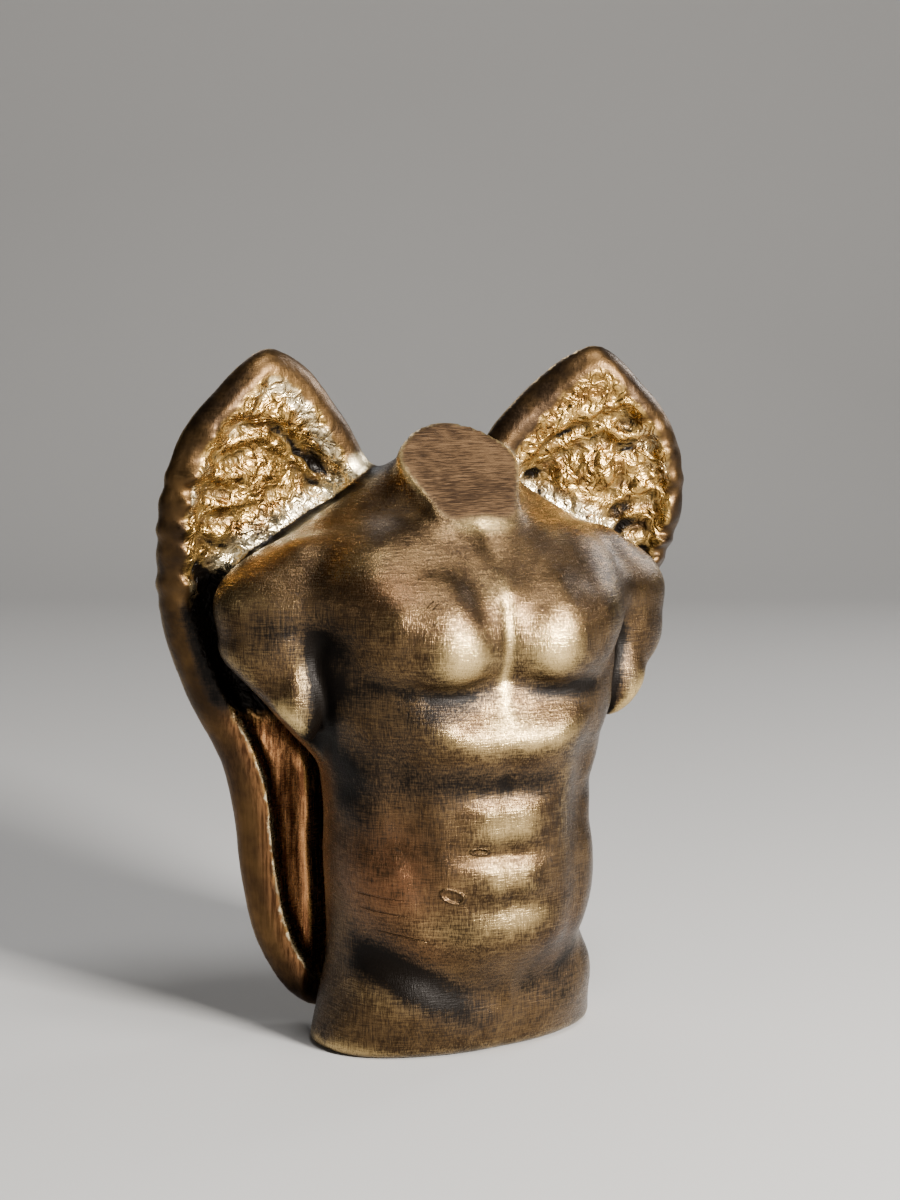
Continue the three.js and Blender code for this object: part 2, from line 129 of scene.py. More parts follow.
def turned(p, centre, spin):
    """Local coordinates of p about a centre, turned by degrees about X, Y and Z."""
    x, y, z = p[0] - centre[0], p[1] - centre[1], p[2] - centre[2]
    for axis, degrees in enumerate(spin):
        if not degrees:
            continue
        s, c = math.sin(math.radians(degrees)), math.cos(math.radians(degrees))
        if axis == 0:
            y, z = c * y + s * z, c * z - s * y
        elif axis == 1:
            x, z = c * x - s * z, c * z + s * x
        else:
            x, y = c * x + s * y, c * y - s * x
    return x, y, z


def ellipsoid(p, centre, radii, spin=(0, 0, 0)):
    x, y, z = turned(p, centre, spin)
    a, b, c = radii
    near = np.sqrt((x / a) ** 2 + (y / b) ** 2 + (z / c) ** 2)
    slope = np.sqrt((x / a**2) ** 2 + (y / b**2) ** 2 + (z / c**2) ** 2)
    return near * (near - 1) / np.maximum(slope, 1e-6)


def rounded_slab(p, centre, half, radius, spin, yaw):
    local = turned(turned(p, centre, (0, 0, yaw)), (0, 0, 0), spin)
    q = [np.abs(c) - h + radius for c, h in zip(local, half)]
    outside = np.sqrt(sum(np.maximum(c, 0) ** 2 for c in q))
    return outside + np.minimum(np.maximum(np.maximum(q[0], q[1]), q[2]), 0) - radius


def limb(p, start, end, start_radius, end_radius):
    """A limb between two points, with a radius at each end."""
    d = np.array(end, np.float32) - np.array(start, np.float32)
    q = [p[i] - start[i] for i in range(3)]
    h = np.clip((q[0] * d[0] + q[1] * d[1] + q[2] * d[2]) / (d @ d), 0, 1)
    gap = np.sqrt(sum((q[i] - d[i] * h) ** 2 for i in range(3)))
    return gap - start_radius - (end_radius - start_radius) * h


# Carving seen in the front view

def swell(x, z, cx, cz, rx, rz, tilt=0.0):
    s, c = math.sin(math.radians(tilt)), math.cos(math.radians(tilt))
    u, v = c * (x - cx) + s * (z - cz), c * (z - cz) - s * (x - cx)
    return np.exp(-((u / rx) ** 2) - (v / rz) ** 2)


def stroke(x, z, points, width):
    """A line with a soft section, 1 on the line and 0 away from it."""
    best = np.full_like(x, 1e9)
    for (ax, az), (bx, bz) in zip(points, points[1:]):
        dx, dz = bx - ax, bz - az
        h = np.clip(((x - ax) * dx + (z - az) * dz) / (dx * dx + dz * dz), 0, 1)
        best = np.minimum(best, (x - ax - dx * h) ** 2 + (z - az - dz * h) ** 2)
    return np.exp(-best / width**2)


# The hips are turned and shifted towards the figure's left, from the waist down to the
# underside, about an upright line through HIP_CENTRE_Y
HIP_TURN = math.radians(9.5)
HIP_SHIFT = 2.4
HIP_CENTRE_Y = 3.0
WAIST_HEIGHT = 62
HIP_HEIGHT = 4

# The trunk: height, half width, front and back
TRUNK = [
    (-10, 40.6, -17.5, 28.5),
    (0, 40.2, -19.5, 28.5),
    (10, 38.0, -22.8, 28.5),
    (22, 35.0, -27.0, 28),
    (34, 34.4, -30.5, 27.5),
    (47, 34.4, -31.5, 27),
    (62, 33.8, -31.5, 26.5),
    (76, 36.2, -33, 26),
    (90, 40.0, -33.5, 25.5),
    (104, 43.0, -31, 25),
    (116, 42.0, -26, 24),
    (126, 36.0, -20, 22),
    (136, 24.0, -14, 19),
]
SQUARENESS = 2.35
TRUNK_TOP = 133


def trunk(p):
    x, y, z = p
    width, front, back = (curved(TRUNK, column, z) for column in (1, 2, 3))
    depth = (back - front) / 2
    u, v = np.abs(x) / width, np.abs(y - (back + front) / 2) / depth
    n = SQUARENESS
    k = np.maximum(u**n + v**n, 1e-6) ** (1 / n)
    slope = k ** (1 - n) * np.sqrt((u ** (n - 1) / width) ** 2 + (v ** (n - 1) / depth) ** 2)
    return smooth_max((k - 1) / np.maximum(slope, 1e-3), z - TRUNK_TOP, 10)


def pad(x, z, cx, cz, rx, rz):
    """A flat-topped swell with fairly steep sides."""
    return np.exp(-(np.abs((x - cx) / rx) ** 3.2) - np.abs((z - cz) / rz) ** 3.2)


def trunk_carving(p, side):
    """Ribs, belly, groin and spine, as the height by which the trunk is raised."""
    x, y, z = p
    front = ramp(2, -16, y)
    rise = 2.4 * front * swell(side, z, 19, 86, 14, 7.0, 24)
    rise += 3.4 * front * swell(x, z, 1, 82, 17, 8)
    rise += 2.8 * front * pad(x, z, 0.6, 61.3, 12.2, 6.6)
    rise += 2.5 * front * pad(x, z, 0.4, 47.7, 12.0, 5.4)
    rise += 2.6 * front * swell(x, z, 1, 32, 17, 10)
    rise += 1.2 * front * swell(side, z, 17, 58, 7, 24)
    rise -= 0.45 * front * stroke(side, z, [(0, 78), (0, 42)], 2.2)
    rise -= 1.2 * front * stroke(side, z, [(25, 78), (24, 62), (22, 44), (17, 28)], 4.5)
    rise += 1.7 * ramp(8, -10, y) * swell(side, z, 29, 49, 8, 13, -12)
    rise -= 2.6 * front * stroke(side, z, [(33, 29.5), (27, 25.5), (17, 20.5), (5, 17)], 6.2)
    rise += 1.1 * front * stroke(side, z, [(38, 21), (26, 13), (12, 3), (2, -2)], 7.5)
    for height in (85, 74.5, 64):
        rib = [(37, height + 3.5), (30, height - 2)]
        rise += 0.6 * ramp(8, -8, y) * stroke(side, z, rib, 3.2)
    return rise - 2.2 * ramp(5, 18, y) * stroke(side, z, [(0, 130), (0, 10)], 4.0)


def chest_muscles(q):
    muscle = rounded_slab(q, (19.0, -21.9, 109.8), (17.5, 13.5, 14.8), 13.0, (16, 0, -8), 24)
    muscle = smooth_min(muscle, ellipsoid(q, (12.6, -25.6, 104.8), (13.4, 11.8, 9.0), (0, 8, 0)), 8)
    muscle = smooth_min(muscle, ellipsoid(q, (31.6, -11.0, 116), (12, 12.0, 9), (0, 24, 0)), 10)
    bone = ellipsoid(q, (0, -22.6, 108.5), (20, 13.2, 16))
    upper_bone = limb((q[0] / 1.5, q[1], q[2]), (0, -12.3, 129.5), (0, -22.0, 116), 8.0, 9.5)
    tip = limb(q, (0, -30.3, 104), (0, -29.8, 94), 2.8, 2.6)
    return smooth_min(smooth_min(smooth_min(muscle, bone, 3.0), upper_bone, 5.0), tip, 2.0)


ARM_CUT_HEIGHT = 79.5


def upper_arm(q, x):
    """The arm down to its slanted cut above the elbow, which is a little higher on the left."""
    form = ellipsoid(q, (47.2, 1.0, 109.5), (13.4, 14.0, 17.5), (0, -14, 0))
    form = smooth_min(form, limb(q, (48.6, 3.5, 104), (45.5, 6.0, 74), 11.4, 10.2), 7)
    form = smooth_min(form, ellipsoid(q, (45.8, -7.0, 92.0), (7.6, 6.8, 12.5), (0, -6, 0)), 3)
    higher = 2.0 * ramp(-5, 5, x)
    cut = (q[0] - 41.5) * 0.7 + (q[1] + 8.4) * 0.14 - (q[2] - ARM_CUT_HEIGHT - higher) * 0.7
    return smooth_max(form, cut, 2.4)


NECK_CUT_TILT = math.radians(45)
NECK_CUT_Y = -8.0
NECK_CUT_HEIGHT = 148.8


def above_neck_cut(y, z):
    """Distance above the slanted plane that ends the neck."""
    return (z - NECK_CUT_HEIGHT) * math.cos(NECK_CUT_TILT) - (y - NECK_CUT_Y) * math.sin(NECK_CUT_TILT)


def untwisted(p):
    """Where a point would be if the hips weren't turned and shifted."""
    x, y, z = p
    share = ramp(WAIST_HEIGHT, HIP_HEIGHT, z)
    angle = HIP_TURN * share
    s, c = np.sin(angle), np.cos(angle)
    u, v = x - HIP_SHIFT * share, y - HIP_CENTRE_Y
    return c * u + s * v, c * v - s * u + HIP_CENTRE_Y, z


def body(p):
    x, y, z = p = untwisted(p)
    side = np.sqrt(x * x + 0.25)
    q = (side, y, z)
    front = ramp(2, -16, y)
    form = trunk(p) - trunk_carving(p, side)
    form = smooth_min(form, chest_muscles(q), 2.0)
    form = smooth_min(form, ellipsoid(q, (15, -9, 124.5), (24, 13.6, 12)), 11)
    narrowed = (side / 1.32, y, z)
    form = smooth_min(form, limb(narrowed, (0, 1, 122), (0, -7.5, 162), 14.0, 10.8) * 1.15, 8)
    form = smooth_min(form, limb(q, (10, 6, 139), (52, 3.0, 115.5), 9.2, 9.5), 10)
    form = smooth_min(form, limb(q, (8, 8, 138), (26, 14, 120), 9.5, 10.0), 10)
    form = smooth_min(form, limb(q, (6, -15.0, 131.5), (42, -4, 128), 2.4, 3.2), 6)
    form = form + 0.9 * front * stroke(side, z, [(0, 117), (0, 98)], 1.9)
    form = smooth_min(form, limb(q, (11.0, -6.0, 152), (7.0, -14.4, 136), 3.6, 3.0), 6)
    form = smooth_min(form, limb(q, (0, -15.0, 138.6), (7.6, -14.4, 138.6), 3.0, 2.8), 4)
    form = form + 0.5 * ramp(-8, -14, y) * swell(x, z, 0, 131, 3.0, 3.6)
    form = smooth_min(form, ellipsoid(q, (26, 12, 114), (20, 12, 20)), 10)
    form = smooth_min(form, upper_arm(q, x), 3.0 + 8.0 * ramp(103, 119, z))
    form = smooth_min(form, ellipsoid(q, (33, 8, 98), (10.5, 16, 20), (0, 12, 0)), 7)
    return smooth_max(form, above_neck_cut(y, z), 1.4)


# One wing's outline in the front view, from the root beside the neck over the tip and
# down the outer edge
WING_OUTLINE = [
    (12, 141), (17.5, 152), (24.0, 162.5), (32.5, 172), (40, 177.8), (46.5, 180.2),
    (52.5, 177.6), (60.8, 169.8), (69.4, 159.7), (74.0, 147.6), (75.6, 134), (73.2, 119),
    (68.7, 104), (62, 88), (53.5, 72), (50.0, 58), (48.5, 42), (45.6, 27),
    (40.2, 14.5), (33.5, 6.5), (24, 3.5), (14, 12), (8, 35), (5, 65),
    (4, 100), (5, 125),
]
OUTLINE_STEPS = 3
OUTER_MIDDLE = [
    (0, 26.5), (25, 27.5), (60, 28.5), (90, 27.5), (105, 25.5),
    (119, 21.5), (133, 15), (148, 11.0), (165, 9.7), (182, 9.5),
]
ROOT_MIDDLE = [(0, 26.5), (60, 28.0), (105, 25), (133, 20), (160, 16.0), (176, 14.5), (182, 12)]
THICKNESS = [(0, 11), (25, 14), (60, 15), (100, 15.5), (130, 15), (150, 13.5), (170, 12.5), (182, 11)]
EDGE_RADIUS = 6.2


def closed_curve(points, steps):
    pts = np.array(points, float)
    before, after, beyond = np.roll(pts, 1, 0), np.roll(pts, -1, 0), np.roll(pts, -2, 0)
    out = []
    for step in range(steps):
        t = step / steps
        out.append(0.5 * (
            2 * pts + (after - before) * t
            + (2 * before - 5 * pts + 4 * after - beyond) * t * t
            + (3 * pts - before - 3 * after + beyond) * t**3
        ))
    return np.stack(out, 1).reshape(-1, 2)


OUTLINE = closed_curve(WING_OUTLINE, OUTLINE_STEPS)


def outline_distance(x, z):
    best = np.full_like(x, 1e9)
    inside = np.zeros(x.shape, bool)
    for (ax, az), (bx, bz) in zip(OUTLINE, np.roll(OUTLINE, -1, 0)):
        dx, dz = bx - ax, bz - az
        h = np.clip(((x - ax) * dx + (z - az) * dz) / (dx * dx + dz * dz), 0, 1)
        best = np.minimum(best, (x - ax - dx * h) ** 2 + (z - az - dz * h) ** 2)
        if bz != az:
            inside ^= ((az > z) != (bz > z)) & (x < ax + (z - az) / dz * dx)
    return np.where(inside, -1, 1) * np.sqrt(best)


# Rows of feathers on the back: roots, tips, how many, half width, lift
FEATHER_ROWS = [
    ([(12, 120), (38, 132), (60, 138)],
     [(13, 22), (22, 12), (33, 16), (41, 32), (46, 55), (56, 80), (66, 104)], 7, 5.4, 1.2),
    ([(9, 112), (30, 117), (52, 116), (66, 124)], [(12, 88), (30, 92), (50, 95), (66, 111)], 6, 5.3, 1.9),
    ([(10, 128), (30, 135), (50, 135), (66, 138)], [(10, 108), (29, 112), (50, 113), (70, 122)], 7, 5.0, 2.5),
    ([(13, 140), (28, 152), (48, 152), (64, 150)], [(10, 126), (29, 131), (50, 131), (72, 137)], 7, 4.9, 3.0),
    ([(18, 148), (32, 164), (50, 168), (62, 160)], [(15, 139), (31, 146), (50, 147), (71, 150)], 7, 4.6, 3.5),
]


def spread(points, count):
    """Points evenly along a bent line."""
    c = np.array(points, float)
    run = np.concatenate([[0], np.cumsum(np.hypot(*np.diff(c, axis=0).T))])
    at = np.linspace(0, run[-1], count)
    return np.stack([np.interp(at, run, c[:, 0]), np.interp(at, run, c[:, 1])], 1)


def feather_relief(x, z):
    relief = np.zeros_like(x)
    for roots, tips, count, width, lift in FEATHER_ROWS:
        for start, end in zip(spread(roots, count), spread(tips, count)):
            dx, dz = end - start
            h = np.clip(((x - start[0]) * dx + (z - start[1]) * dz) / (dx * dx + dz * dz), 0, 1)
            off = np.hypot(x - start[0] - dx * h, z - start[1] - dz * h)
            d = off / (width * (0.75 + 0.25 * h))
            raised = lift * (0.4 + 0.6 * h)
            feather = raised + 1.1 * np.sqrt(np.maximum(1 - d * d, 0))
            shaft = 0.35 * np.exp(-((off / 0.7) ** 2)) * ramp(0, 0.12, h)
            relief = np.maximum(relief, np.where(d < 1, feather - shaft, 0))
            relief = np.maximum(relief, 0.78 * raised * ramp(1.45, 1.2, d))
    return relief


# Height of the arches on a wing's front: level, relief
ARCHES = [
    (128, -0.6), (140, -1.0), (146, -1.3), (150, -1.6), (153.8, -2.6), (157.0, -0.5),
    (160.3, -2.3), (163.4, 0.5), (166.5, 0.1), (176, 0.0),
]
# Heights of the rounded feather ends along the outer edge
KNUCKLE_SPACING = 7.7
KNUCKLE_TOP = 157.4
# Depth in the noise at which each wing's front takes its unevenness, so that the two differ
APART = 40


def arch_level(x, z, side):
    """Height on the nested arches: level at the crown, dropping towards the neck."""
    inward, outward = np.maximum(48 - x, 0), np.maximum(x - 48, 0)
    drop = 13.3 * (inward / 21.5) ** 1.25 + 2.0 * (outward / 12.7) ** 1.5
    apart = APART * side
    return z + drop + 1.7 * value_noise(x, apart, z, 9.0, 11) + 0.9 * value_noise(x, apart, z, 4.5, 12)


def knuckle_wave(x, z, side):
    """The row of feather ends: up to 1 on their crests and -1 between them, worn unevenly."""
    lean = 0.22 * np.maximum(66 - x, 0) + 2.0 * value_noise(x, APART * side, z, 10.0, 13)
    worn = 0.62 + 0.5 * value_noise(x, APART * side, z, 7.0, 14)
    return worn * np.cos(2 * np.pi * (z + lean - KNUCKLE_TOP) / KNUCKLE_SPACING)


def front_relief(x, z, depth, side, gap):
    """The hollow inside the rim, the arches, and the feather ends along the outer edge."""
    upper = ramp(108, 120, z)
    top = ramp(152, 164, z)
    inner_rim = ramp(46, 34, x) * ramp(140, 152, z) * np.where(side > 0, 6.0, 1.0)
    inside = depth - inner_rim
    deep = -2.2 - 1.4 * ramp(60, 96, z) + 1.9 * top
    hollow = deep * ramp(6.5 - 1.5 * top, 11.5 + 2.5 * top, inside) * ramp(6, 16, x)
    uneven = 0.75 + 0.5 * value_noise(x, APART * side, z, 5.0, 15)
    crest_share = ramp(84, 74, z) + 0.2 * ramp(150, 160, z)
    crest = 1.4 * uneven * np.exp(-(((inside - 7.2) / 1.15) ** 2)) * crest_share
    level = arch_level(x, z, side)
    heights, relief = zip(*ARCHES)
    arches = np.interp(level, heights, relief) * upper * ramp(5.5, 9.5, inside) * ramp(64, 54, x)
    knuckles = ramp(50, 58, x) * upper * ramp(164, 158, z) * ramp(1.5, 6.5, depth)
    knuckles = 1.5 * knuckles * knuckle_wave(x, z, side)
    furrow = ramp(58, 46, x) * upper * ramp(153, 147, level) * ramp(6, 12, inside)
    lumps = value_noise(x, APART * side, z, 5.2, 16) + 0.5 * value_noise(x, APART * side, z, 2.6, 17)
    # below the arm the wing stands clear of the flank by a narrow dark gap with a thin lip
    low = ramp(98, 86, z)
    lip = 0.8 * np.exp(-(((gap - 6.0) / 1.3) ** 2))
    dark_gap = 3.0 * np.exp(-(((gap - 1.6) / 2.2) ** 2))
    clear = low * (lip - dark_gap)
    return hollow + crest + arches + knuckles + 1.1 * furrow * lumps + clear


def wings(p, gap):
    """Both wings; gap is the distance to the body."""
    x, y, z = np.abs(p[0]), p[1], p[2]
    side = np.sign(p[0])
    across = outline_distance(x, z)
    # the feather ends run over the outer edge, and the left wing is fuller beside the neck
    edge = ramp(52, 62, x) * ramp(112, 120, z) * ramp(158, 146, z)
    across = across - 0.45 * edge * knuckle_wave(x, z, side)
    left, right = side > 0, side < 0
    fuller = 2.2 * left * swell(x, z, 24, 153, 16, 11) + 0.9 * right * swell(x, z, 37, 171, 9, 9)
    across = across - fuller * ramp(48, 38, x) + 1.0 * right * swell(x, z, 76, 128, 9, 13)
    outer = straight(OUTER_MIDDLE, z)
    middle = outer + (straight(ROOT_MIDDLE, z) - outer) * (1 - ramp(26, 54, x))
    half = straight(THICKNESS, z) / 2
    back = y - (middle + half - 3.0 + feather_relief(x, z) * ramp(0.5, 5, -across))
    front = (middle - half - front_relief(x, z, -across, side, gap)) - y
    q = across + EDGE_RADIUS, np.maximum(back, front) + EDGE_RADIUS
    outside = np.sqrt(np.maximum(q[0], 0) ** 2 + np.maximum(q[1], 0) ** 2)
    return outside + np.minimum(np.maximum(q[0], q[1]), 0) - EDGE_RADIUS


def figure(p):
    torso = body(p)
    blend = 2.2 + 5.0 * ramp(112, 128, p[2])
    return smooth_max(smooth_min(torso, wings(p, torso), blend), -p[2], 3.0)


# From the distance to a mesh: one point in each lattice cell that the surface crosses

# Stands for the distance at lattice points away from the surface, in millimetres
FAR = 50.0


def lattice_values():
    """The figure's distance near its surface, FAR outside it and -FAR inside it."""
    count = np.ceil((LATTICE_HIGH - LATTICE_LOW) / (CELL * BLOCK)).astype(int) * BLOCK + 1
    axes = [(LATTICE_LOW[i] + CELL * np.arange(count[i])).astype(np.float32) for i in range(3)]
    coarse = np.meshgrid(*[a[::BLOCK] for a in axes], indexing="ij")
    rough = figure([c.ravel() for c in coarse]).reshape(coarse[0].shape)
    shape = [s - 1 for s in rough.shape]
    corners = [
        rough[i : shape[0] + i, j : shape[1] + j, k : shape[2] + k]
        for i in (0, 1) for j in (0, 1) for k in (0, 1)
    ]
    nearest, farthest = np.min(corners, 0), np.max(corners, 0)
    reach = CELL * BLOCK * 1.9
    wanted = (nearest < reach) & (farthest > -reach)
    sign = np.where(nearest + farthest > 0, FAR, -FAR).astype(np.float32)
    fine = np.pad(np.kron(sign, np.ones((BLOCK,) * 3, np.float32)), ((0, 1),) * 3, mode="edge")
    inside = np.pad(np.kron(wanted, np.ones((BLOCK,) * 3, bool)), ((0, 1),) * 3)
    needed = np.zeros(fine.shape, bool)
    for i in (0, 1):
        for j in (0, 1):
            for k in (0, 1):
                needed |= np.roll(inside, (i, j, k), (0, 1, 2))
    i, j, k = np.nonzero(needed)
    fine[i, j, k] = figure([axes[0][i], axes[1][j], axes[2][k]])
    return fine


def part_touching_cells(values):
    """Fills lattice points beside cells that touch only along an edge or at a corner."""
    changed = True
    while changed:
        changed = False
        negative = values < 0
        for axis in range(3):
            u, v = (axis + 1) % 3, (axis + 2) % 3

            def view(array, du, dv):
                cut = [slice(None)] * 3
                cut[u] = slice(du, array.shape[u] - 1 + du)
                cut[v] = slice(dv, array.shape[v] - 1 + dv)
                return array[tuple(cut)]

            a, b, c, d = (view(negative, *o) for o in ((0, 0), (1, 0), (1, 1), (0, 1)))
            crossed = (a == c) & (b == d) & (a != b)
            if crossed.any():
                changed = True
                for offset in ((0, 0), (1, 0), (1, 1), (0, 1)):
                    part = view(values, *offset)
                    part[crossed] = np.minimum(part[crossed], -0.01)
                negative = values < 0
    return values


def surface_nets(values):
    """Points and four-sided faces of the surface where the values change sign."""
    negative = values < 0
    nx, ny, nz = values.shape
    corners = [(i, j, k) for i in (0, 1) for j in (0, 1) for k in (0, 1)]
    inside = sum(
        negative[i : nx - 1 + i, j : ny - 1 + j, k : nz - 1 + k].astype(int) for i, j, k in corners
    )
    cell = np.array(np.nonzero((inside > 0) & (inside < 8)))
    index = -np.ones(inside.shape, np.int64)
    index[tuple(cell)] = np.arange(cell.shape[1])
    total = np.zeros((cell.shape[1], 3))
    count = np.zeros(cell.shape[1])
    for a in corners:
        for axis in range(3):
            if a[axis]:
                continue
            b = list(a)
            b[axis] = 1
            start = values[tuple(cell[n] + a[n] for n in range(3))]
            end = values[tuple(cell[n] + b[n] for n in range(3))]
            hit = (start < 0) != (end < 0)
            point = np.tile(np.array(a, float), (cell.shape[1], 1))
            point[:, axis] = np.where(hit, start / np.where(start == end, 1, start - end), 0)
            total[hit] += point[hit]
            count[hit] += 1
    points = (cell.T + total / count[:, None]) * CELL + LATTICE_LOW
    quads = []
    for axis in range(3):
        ahead, behind = [slice(None)] * 3, [slice(None)] * 3
        behind[axis], ahead[axis] = slice(0, -1), slice(1, None)
        at = np.array(np.nonzero(negative[tuple(behind)] != negative[tuple(ahead)]))
        u, v = (axis + 1) % 3, (axis + 2) % 3
        at = at[:, (at[u] > 0) & (at[v] > 0)]

        def corner(du, dv):
            place = at.copy()
            place[u] -= du
            place[v] -= dv
            return index[tuple(place)]

        quad = np.stack([corner(0, 0), corner(1, 0), corner(1, 1), corner(0, 1)], 1)
        flip = ~negative[tuple(at)]
        quad[flip] = quad[flip][:, ::-1]
        quads.append(quad)
    return points, np.concatenate(quads)


def value_at(points):
    return figure([*points.astype(np.float32).T])


def slope_at(points, step=0.22):
    slope = np.zeros((len(points), 3))
    for axis in range(3):
        offset = np.zeros(3)
        offset[axis] = step
        slope[:, axis] = (value_at(points + offset) - value_at(points - offset)) / (2 * step)
    return slope


def pulled(points, rounds=2):
    """Moves points onto the surface, never below the underside."""
    for _ in range(rounds):
        value, slope = value_at(points), slope_at(points)
        move = value[:, None] * slope / np.maximum((slope * slope).sum(1), 0.25)[:, None]
        length = np.linalg.norm(move, axis=1)
        points = points - move * np.minimum(1, 0.6 * CELL / np.maximum(length, 1e-9))[:, None]
        points[:, 2] = np.maximum(points[:, 2], 0)
    return points


# Marks of casting and brushing that are small enough to be moved into the points

def wing_share(points):
    """1 on the wings and 0 on the body, with a soft border."""
    p = [*points.astype(np.float32).T]
    torso = body(p)
    return ramp(1.2, -1.2, wings(p, torso) - torso)


def surface_marks(points, on_wing, normal, inset):
    """How far each point is raised along its normal, in millimetres."""
    x, y, z = points.T
    upper = ramp(104, 118, z)
    facing = ramp(0.25, -0.25, normal[:, 1])
    crumple = 0.7 * value_noise(x, y, z, 5.5, 1) - 0.9 * np.abs(value_noise(x, y, z, 3.4, 2))
    crumple += 0.25 * value_noise(x, y, z, 2.2, 3)
    rough = upper * facing * ramp(4.5, 8.5, inset)
    rise = 0.95 * crumple * on_wing * (0.12 + 0.88 * rough)
    waviness = value_noise(x, y, z, 14, 4) + 0.5 * value_noise(x, y, z, 6, 5)
    rise += 0.13 * waviness * (1 - on_wing)
    rise += 0.05 * value_noise(x, y, z, 2.2, 6) * (1 - on_wing)
    return rise * ramp(0.0, 2.5, z)


def hollowness(points, normal, reach):
    """How much of the space in front of each point is closed by the form itself."""
    return np.clip(1 - value_at(points + normal * reach) / reach, 0, 1.5)


def relief(points, quads, normal, rounds):
    """How far each point stands proud of the form once that is smoothed, in millimetres."""
    here, there = quads.ravel(), np.roll(quads, -1, 1).ravel()
    count = np.bincount(here, minlength=len(points)) + np.bincount(there, minlength=len(points))
    smooth = points
    for _ in range(rounds):
        total = [
            np.bincount(here, smooth[there, axis], len(points))
            + np.bincount(there, smooth[here, axis], len(points))
            for axis in range(3)
        ]
        smooth = smooth + 0.7 * (np.stack(total, 1) / count[:, None] - smooth)
    return ((points - smooth) * normal).sum(1)


# Patches on the front of the torso, in the front view: place, size, tilt and strength.
# Black patina with painted shade stays in the first, the second are rubbed to gold with painted highlights,
# the third are reddish.
# Black patina with painted shade, such as the soft shadow under the pecs
PATINA_AND_SHADE_PATCHES = [
    (-42, 99, 5.5, 15, 0, 1.1), (-33, 96, 10, 4, 0, 0.7), (-54, 110, 9, 8, 0, 0.9),
    (-33, 71, 8, 10, 0, 0.6), (-38, 76, 5, 4, 0, 0.8), (-38, 66, 5, 5.5, 0, 0.9),
    (-10, 73, 18, 5, 0, 0.8), (12, 72, 12, 4.5, 0, 0.5), (-17, 90, 12, 4, 10, 0.5),
    (13.5, 52, 3.2, 26, 0, 0.4), (26, 52, 5, 26, 0, 0.35), (26, 94, 9, 4, 0, 0.6),
    (-25, 23, 15, 6.5, -35, 1.4), (-10, 15, 12, 5, -25, 0.8), (9, 19, 9, 7, 0, 0.5),
    (26, 25, 8, 6, 40, 0.6), (24, 14, 8, 8, 0, 0.7), (-17, 60, 7, 16, 0, 0.3), (-43, 82, 5, 6, 0, 0.9),
    (-25, 84, 8, 6, 0, 0.45), (27, 84, 6, 6, 0, 0.35), (-30, 60, 4, 5, 20, 0.4),
    (-22, 44, 5, 2.5, -10, 0.35), (-35, 50, 3, 7, 0, 0.35), (-37, 37, 4, 5, 0, 0.35),
    (-17, 93, 15, 3.5, 8, 0.45), (18, 95, 13, 3.5, -6, 0.45), (-26, 104, 6, 9, 20, 0.3),
    (45, 98, 5, 12, 0, 0.5), (0, 8, 34, 4, 0, 0.25),
]
# Rubbed gold with painted highlights: on the pecs, the belly, the arm and the neck's front edge
GOLD_AND_HIGHLIGHT_PATCHES = [
    (-13.5, 104, 9, 7, 0, 1.0), (10.5, 105, 8, 7, 0, 1.0), (0, 110, 2.0, 13, 0, 0.7),
    (3, 83, 15, 4.5, 0, 0.8), (-1, 89, 7, 4, 0, 0.45), (-0.5, 96, 1.3, 7, 0, 0.8),
    (-4, 119.5, 3.5, 6, 10, 0.4), (0.6, 61, 10, 5, 0, 0.85), (0.4, 48, 10, 4, 0, 0.6),
    (3, 37, 16, 5, 0, 0.75), (-14, 33, 10, 4, -20, 0.35), (18, 68, 3, 14, 0, 0.4), (0, 136, 9, 2.5, 0, 1.0),
    (20, 135, 8, 4, -30, 0.45), (-46, 100, 4, 6, 0, 0.45), (-32, 128, 9, 4, 20, 0.4),
    (33, 118, 4, 9, 0, 0.35), (-30, 16, 8, 3, -35, 0.3),
]
RED_PATCHES = [
    (-27, 49, 9, 14, 0, 0.9), (-30, 121, 9, 5, 20, 0.3), (-18, 30, 8, 6, 0, 0.3), (20, 30, 8, 10, 0, 0.25),
]


# What each point tells the paint: its share of the wing, how closed in and how proud it is,
# its share of the patches (patina with painted shade, gold with painted highlights, reddish)
# and of the neck's cut, how far inside the wing's outline it lies, and its share of the wing's
# front, of that below the arm, of the painted shade beside the arm and of the fillet above the shoulder
GUIDES = [
    "wing", "fine_hollow", "wide_hollow", "fine_relief", "broad_relief", "dark", "gold", "red", "cut",
    "inset", "wing_front", "low_wing", "beside_arm", "fillet",
]


def patches(x, z, places):
    return sum(strength * swell(x, z, *place) for *place, strength in places)


def paint_guides(bare, marked, quads, normal, on_wing, inset):
    """Values at each point that tell the paint where it is, for the names in GUIDES."""
    x, y, z = bare.T
    gap = body([x, y, z])
    wing_front = on_wing * ramp(0.3, -0.25, normal[:, 1])
    chest = ramp(0, -12, y) * (1 - on_wing)
    near_cut = (z > 134) * (np.abs(x) < 20)
    plain_base = 0.25 + 0.75 * ramp(0.5, 4, z)
    # the wing's front beside the arm, which is painted dark as the arm's shadow
    beside_arm = ramp(82, 90, z) * ramp(120, 112, z) * ramp(2.0, 5.0, inset)
    return {
        "wing": on_wing,
        "fine_hollow": hollowness(bare, normal, 1.6),
        "wide_hollow": hollowness(bare, normal, 6.0),
        "fine_relief": relief(marked, quads, normal, 12) * plain_base,
        "broad_relief": relief(marked, quads, normal, 110),
        "dark": patches(x, z, PATINA_AND_SHADE_PATCHES) * chest,
        "gold": patches(x, z, GOLD_AND_HIGHLIGHT_PATCHES) * chest,
        "red": patches(x, z, RED_PATCHES) * chest,
        "cut": ramp(-0.5, 0.0, above_neck_cut(y, z)) * near_cut,
        "inset": inset,
        "wing_front": wing_front,
        "low_wing": wing_front * ramp(88, 80, z),
        "beside_arm": wing_front * beside_arm,
        "fillet": wing_front * ramp(7.5, 3.0, gap) * ramp(119, 126, z),
    }


